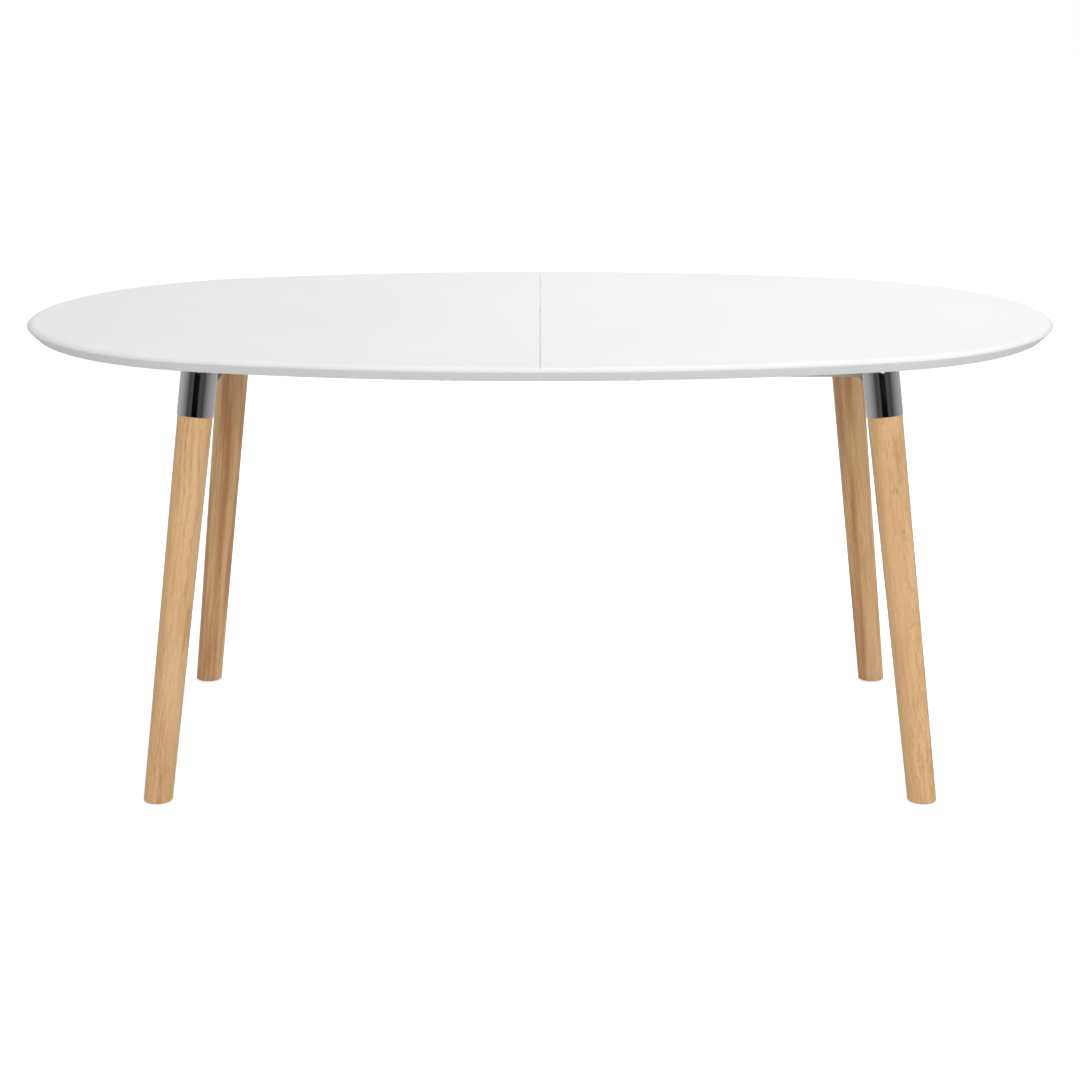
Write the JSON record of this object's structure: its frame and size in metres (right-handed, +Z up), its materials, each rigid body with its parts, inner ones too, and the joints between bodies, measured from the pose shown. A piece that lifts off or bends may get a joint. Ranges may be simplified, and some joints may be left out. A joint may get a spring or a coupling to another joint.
{
  "type": "extending dining table",
  "caption": "Oval dining table whose two half tops pull apart on geared telescopic runners; splayed tapered round legs in metal collars.",
  "frame": {"origin": "on the floor, under the middle of the closed top", "axes": "+X is the long way and the way the top pulls apart, -Y is the front, +Z is up"},
  "size_m": [1.6998, 1, 0.74],
  "materials": {
    "white_lacquer": "satin white lacquer on board",
    "oak": "clear matt lacquer",
    "polished_collar": "polished",
    "black_coat": "fine textured powder coat",
    "runner_aluminium": "mill finish extrusion",
    "zinc_steel": "bright zinc plated",
    "nylon": "moulded natural nylon",
    "black_plastic": "moulded matt black",
    "dowel_beech": "fluted beech, unfinished"
  },
  "bodies": {
    "left_half": {"end_rail_left": "black_coat", "foot_glides_left": "black_plastic", "latch_pins": "zinc_steel", "latch_plates": "zinc_steel", "leg_bolts_left": "zinc_steel", "leg_collar_front_left": "polished_collar", "leg_collar_rear_left": "polished_collar", "leg_front_left": "oak", "leg_plate_front_left": "black_coat", "leg_plate_rear_left": "black_coat", "leg_rear_left": "oak", "rack_front_left": "nylon", "rack_rear_left": "nylon", "rack_screws_left": "zinc_steel", "runner_brackets_left": "zinc_steel", "runner_channel_front_left": "runner_aluminium", "runner_channel_rear_left": "runner_aluminium", "runner_rivets_left": "zinc_steel", "runner_stops_left": "zinc_steel", "seam_dowels": "dowel_beech", "tabletop_left": "white_lacquer", "wood_screws_left": "zinc_steel"},
    "carriage": {"middle_runner_front": "runner_aluminium", "middle_runner_rear": "runner_aluminium", "pinion_pins": "zinc_steel", "slide_pads": "nylon", "tie_bar_left": "runner_aluminium", "tie_bar_right": "runner_aluminium", "tie_hangers": "runner_aluminium", "tie_screws": "zinc_steel"},
    "right_half": {"end_rail_right": "black_coat", "foot_glides_right": "black_plastic", "leg_bolts_right": "zinc_steel", "leg_collar_front_right": "polished_collar", "leg_collar_rear_right": "polished_collar", "leg_front_right": "oak", "leg_plate_front_right": "black_coat", "leg_plate_rear_right": "black_coat", "leg_rear_right": "oak", "rack_front_right": "nylon", "rack_rear_right": "nylon", "rack_screws_right": "zinc_steel", "runner_brackets_right": "zinc_steel", "runner_channel_front_right": "runner_aluminium", "runner_channel_rear_right": "runner_aluminium", "runner_rivets_right": "zinc_steel", "runner_stops_right": "zinc_steel", "strike_pins": "zinc_steel", "strike_plates": "zinc_steel", "tabletop_right": "white_lacquer", "wood_screws_right": "zinc_steel"},
    "pinion_front": {"pinion_front": "nylon"},
    "pinion_rear": {"pinion_rear": "nylon"},
    "latch_front": {"latch_knob_front": "black_plastic", "latch_lever_front": "zinc_steel"},
    "latch_rear": {"latch_knob_rear": "black_plastic", "latch_lever_rear": "zinc_steel"}
  },
  "joints": [
    {"name": "carriage_slide", "type": "slide", "parent": "left_half", "child": "carriage", "axis": [1, 0, 0], "range_m": [0, 0.5]},
    {"name": "right_half_slide", "type": "slide", "parent": "carriage", "child": "right_half", "axis": [1, 0, 0], "range_m": [0, 0.5]},
    {"name": "pinion_front_spin", "type": "hinge", "parent": "carriage", "child": "pinion_front", "pos_m": [0, -0.14954, 0.6715], "axis": [0, 0, -1], "range_deg": [0, 2123]},
    {"name": "pinion_rear_spin", "type": "hinge", "parent": "carriage", "child": "pinion_rear", "pos_m": [0, 0.14954, 0.6715], "axis": [0, 0, 1], "range_deg": [0, 2123]},
    {"name": "latch_front_swing", "type": "hinge", "parent": "left_half", "child": "latch_front", "pos_m": [-0.03, -0.33, 0.71], "axis": [0, 0, -1], "range_deg": [0, 90]},
    {"name": "latch_rear_swing", "type": "hinge", "parent": "left_half", "child": "latch_rear", "pos_m": [-0.03, 0.33, 0.71], "axis": [0, 0, 1], "range_deg": [0, 90]}
  ],
  "couplings": [
    {"joint": "right_half_slide", "follows": "carriage_slide", "ratio": 1},
    {"joint": "pinion_front_spin", "follows": "carriage_slide", "rad_per_m": 74.074},
    {"joint": "pinion_rear_spin", "follows": "carriage_slide", "rad_per_m": 74.074}
  ]
}
